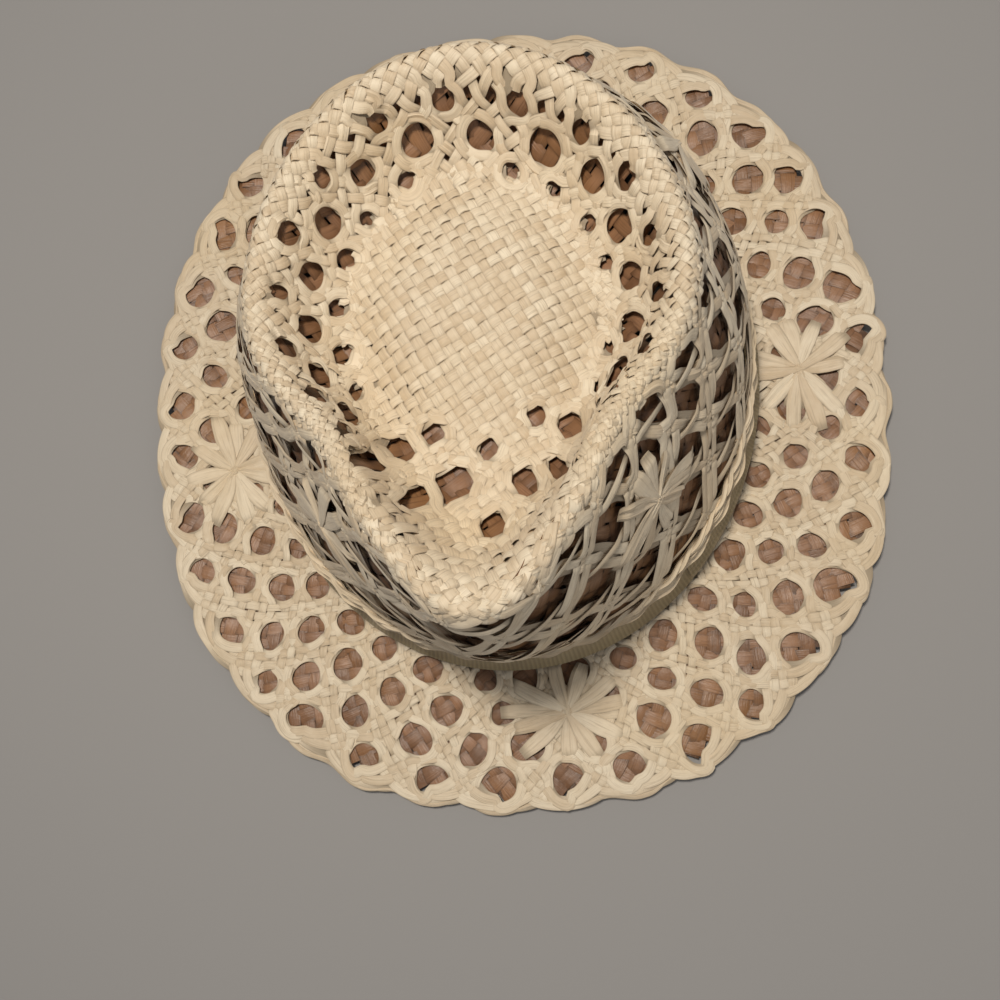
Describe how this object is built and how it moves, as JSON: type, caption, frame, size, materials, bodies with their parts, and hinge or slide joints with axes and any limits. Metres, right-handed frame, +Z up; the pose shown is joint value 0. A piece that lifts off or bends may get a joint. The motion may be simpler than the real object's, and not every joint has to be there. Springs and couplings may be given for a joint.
{
  "type": "open-weave straw hat",
  "caption": "Straw sun hat with a teardrop crown and pinched front, an openwork cream outer weave with star motifs over a brown woven lining, a ribbon band and a lobed brim.",
  "frame": {"origin": "centre of the brim's outline, on the flat underside of the brim where the hat rests", "axes": "+Z up through the crown, -Y towards the front peak, +X towards the wearer's left"},
  "size_m": [0.261, 0.283, 0.1178],
  "materials": {
    "cream_straw": "matte bleached raffia straw with fine lengthwise fibres",
    "brown_straw": "flat glossy brown straw, plain weave",
    "khaki_ribbon": "smooth matte ribbon",
    "sweatband_cloth": "matte cotton tape"
  },
  "bodies": {
    "root": {"outer_crown": "cream_straw", "crown_lining": "brown_straw", "base_twine_1": "cream_straw", "base_twine_2": "cream_straw", "base_twine_3": "cream_straw", "hat_band": "khaki_ribbon", "hat_band_lap": "khaki_ribbon", "sweatband": "sweatband_cloth", "brim_lining": "brown_straw", "outer_brim": "cream_straw", "brim_edge_braid": "cream_straw", "crown_star_front_right": "cream_straw", "crown_star_front_left": "cream_straw", "crown_star_back_right": "cream_straw", "crown_star_back_left": "cream_straw", "brim_star_front": "cream_straw", "brim_star_right": "cream_straw", "brim_star_back": "cream_straw", "brim_star_left": "cream_straw"}
  },
  "joints": []
}
